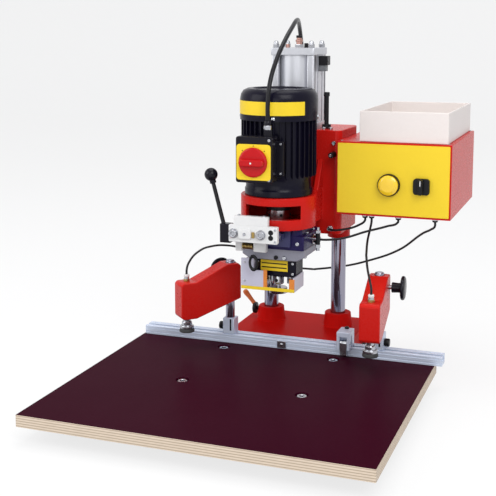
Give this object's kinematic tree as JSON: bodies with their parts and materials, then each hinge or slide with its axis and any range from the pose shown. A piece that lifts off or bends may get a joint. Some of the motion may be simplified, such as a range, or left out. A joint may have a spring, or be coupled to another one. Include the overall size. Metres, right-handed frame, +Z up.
{
  "type": "hinge boring machine",
  "caption": "Bench hinge boring machine: red head with motor and control box on chromed columns over a wide table and fence, with air clamps and a swing-down insertion tool",
  "frame": {"origin": "Middle of the footprint of the object's box, without its cords, at the undersides of the support rails.", "axes": "+X to the operator's right, along the fence; +Y from the operator to the back; +Z up, along the columns and spindles."},
  "size_m": [0.6172, 0.796, 0.6961],
  "materials": {
    "red_enamel": "gloss",
    "table_film": "smooth film",
    "fence_aluminium": "satin",
    "bright_steel": "machined",
    "chrome": "polished",
    "motor_black": "semi-gloss",
    "black_plastic": "semi-gloss",
    "carrier_blue": "semi-gloss",
    "cast_grey": "as cast",
    "yellow_plastic": "satin",
    "red_plastic": "gloss",
    "orange_plastic": "satin",
    "guard_plastic": "clear",
    "rubber": "matte",
    "bin_cream": "matte",
    "rail_paint": "semi-matte",
    "hose_black": "satin"
  },
  "bodies": {
    "base": {"table_board": "table_film", "support_rail_left": "rail_paint", "support_rail_right": "rail_paint", "base_casting": "red_enamel", "column_left": "chrome", "column_right": "chrome", "column_bridge": "bright_steel", "piston_rod": "chrome", "fence_rail": "fence_aluminium", "centre_marker": "bright_steel", "post_block_left": "fence_aluminium", "post_block_right": "fence_aluminium", "clamp_post_left": "chrome", "clamp_post_right": "chrome"},
    "column_lever": {"column_lever": "orange_plastic"},
    "head": {"head_casting": "red_enamel", "motor_housing": "motor_black", "fan_cowl": "motor_black", "switch_box": "black_plastic", "switch_plate": "yellow_plastic", "cylinder_barrel": "fence_aluminium", "cylinder_cap": "fence_aluminium", "valve_block": "black_plastic", "depth_stop_rod": "bright_steel", "carrier_block": "carrier_blue", "adapter_casting": "cast_grey", "gear_head": "motor_black", "guard": "guard_plastic", "insertion_support": "fence_aluminium", "control_box": "red_enamel", "control_panel": "yellow_plastic", "motor_cable": "hose_black", "hose_head_short": "hose_black", "hose_head_long": "hose_black", "hose_left_upper": "hose_black", "hose_right_upper": "hose_black"},
    "main_spindle": {"motor_shaft": "bright_steel", "spindle_centre": "bright_steel"},
    "side_spindle_left": {"spindle_left": "bright_steel"},
    "side_spindle_right": {"spindle_right": "bright_steel"},
    "insertion_tool": {"insertion_bracket": "fence_aluminium", "insertion_lever": "black_plastic"},
    "main_switch": {"main_switch_knob": "red_plastic"},
    "start_button": {"start_button": "yellow_plastic"},
    "selector": {"selector_knob": "black_plastic"},
    "bin": {"hinge_bin": "bin_cream"},
    "clamp_left": {"clamp_arm_left": "red_enamel", "hose_left_lower": "hose_black"},
    "clamp_right": {"clamp_arm_right": "red_enamel", "hose_right_lower": "hose_black"},
    "presser_left": {"presser_rod_left": "bright_steel", "presser_pad_left": "rubber"},
    "presser_right": {"presser_rod_right": "bright_steel", "presser_pad_right": "rubber"},
    "arm_knob_left": {"arm_knob_left": "black_plastic"},
    "arm_knob_right": {"arm_knob_right": "black_plastic"},
    "block_knob_left": {"block_knob_left": "black_plastic"},
    "block_knob_right": {"block_knob_right": "black_plastic"},
    "flip_stop": {"stop_bracket": "fence_aluminium"},
    "flip_finger": {"stop_finger": "bright_steel"}
  },
  "joints": [
    {"name": "head_slide", "type": "slide", "parent": "base", "child": "head", "axis": [0, 0, 1], "range_m": [-0.111, 0], "stiffness_N_per_m": 500, "springref_m": 1.2, "deforming": ["hose_left_upper", "hose_right_upper"]},
    {"name": "motor_spin", "type": "hinge", "parent": "head", "child": "main_spindle", "pos_m": [-0.00865, 0.0555, 0.25], "axis": [0, 0, 1], "continuous": true},
    {"name": "spindle_left_spin", "type": "hinge", "parent": "head", "child": "side_spindle_left", "pos_m": [-0.03115, 0.065, 0.2], "axis": [0, 0, 1], "continuous": true},
    {"name": "spindle_right_spin", "type": "hinge", "parent": "head", "child": "side_spindle_right", "pos_m": [0.01385, 0.065, 0.2], "axis": [0, 0, 1], "continuous": true},
    {"name": "insertion_swing", "type": "hinge", "parent": "head", "child": "insertion_tool", "pos_m": [-0.00865, -0.018, 0.2953], "axis": [1, 0, 0], "range_deg": [0, 90]},
    {"name": "main_switch_turn", "type": "hinge", "parent": "head", "child": "main_switch", "pos_m": [-0.01965, -0.06, 0.4373], "axis": [0, 1, 0], "range_deg": [0, 90]},
    {"name": "start_press", "type": "slide", "parent": "head", "child": "start_button", "axis": [0, 1, 0], "range_m": [0, 0.005], "stiffness_N_per_m": 300, "springref_m": -0.002},
    {"name": "selector_turn", "type": "hinge", "parent": "head", "child": "selector", "pos_m": [0.25465, 0.1, 0.3843], "axis": [0, 1, 0], "range_deg": [-45, 45]},
    {"name": "bin_lift", "type": "slide", "parent": "head", "child": "bin", "axis": [0, 0, 1], "range_m": [0, 0.08]},
    {"name": "clamp_left_swivel", "type": "hinge", "parent": "base", "child": "clamp_left", "pos_m": [-0.12165, 0.09, 0.16], "axis": [0, 0, 1], "range_deg": [-25, 40], "deforming": ["hose_left_lower"]},
    {"name": "clamp_right_swivel", "type": "hinge", "parent": "base", "child": "clamp_right", "pos_m": [0.18135, 0.09, 0.16], "axis": [0, 0, 1], "range_deg": [0, 61], "deforming": ["hose_right_lower"]},
    {"name": "presser_left_slide", "type": "slide", "parent": "clamp_left", "child": "presser_left", "axis": [0, 0, 1], "range_m": [-0.022, 0], "stiffness_N_per_m": 200, "springref_m": 0.01},
    {"name": "presser_right_slide", "type": "slide", "parent": "clamp_right", "child": "presser_right", "axis": [0, 0, 1], "range_m": [-0.022, 0], "stiffness_N_per_m": 200, "springref_m": 0.01},
    {"name": "arm_knob_left_turn", "type": "hinge", "parent": "clamp_left", "child": "arm_knob_left", "pos_m": [-0.12165, 0.09, 0.1913], "axis": [0.7193, -0.6947, 0], "continuous": true},
    {"name": "arm_knob_right_turn", "type": "hinge", "parent": "clamp_right", "child": "arm_knob_right", "pos_m": [0.18135, 0.09, 0.1913], "axis": [0.9976, 0.0698, 0], "continuous": true},
    {"name": "block_knob_left_turn", "type": "hinge", "parent": "base", "child": "block_knob_left", "pos_m": [-0.137, 0.09, 0.0833], "axis": [1, 0, 0], "continuous": true},
    {"name": "block_knob_right_turn", "type": "hinge", "parent": "base", "child": "block_knob_right", "pos_m": [0.195, 0.09, 0.0833], "axis": [1, 0, 0], "continuous": true},
    {"name": "column_lever_turn", "type": "hinge", "parent": "base", "child": "column_lever", "pos_m": [-0.1174, 0.228, 0.0853], "axis": [1, 0, 0], "range_deg": [-90, 90]},
    {"name": "stop_slide", "type": "slide", "parent": "base", "child": "flip_stop", "axis": [1, 0, 0], "range_m": [-0.06, 0.03]},
    {"name": "stop_flip", "type": "hinge", "parent": "flip_stop", "child": "flip_finger", "pos_m": [0.11835, 0.072, 0.0793], "axis": [-1, 0, 0], "range_deg": [0, 90]}
  ],
  "couplings": [
    {"joint": "spindle_left_spin", "follows": "motor_spin", "ratio": -1},
    {"joint": "spindle_right_spin", "follows": "motor_spin", "ratio": -1}
  ]
}
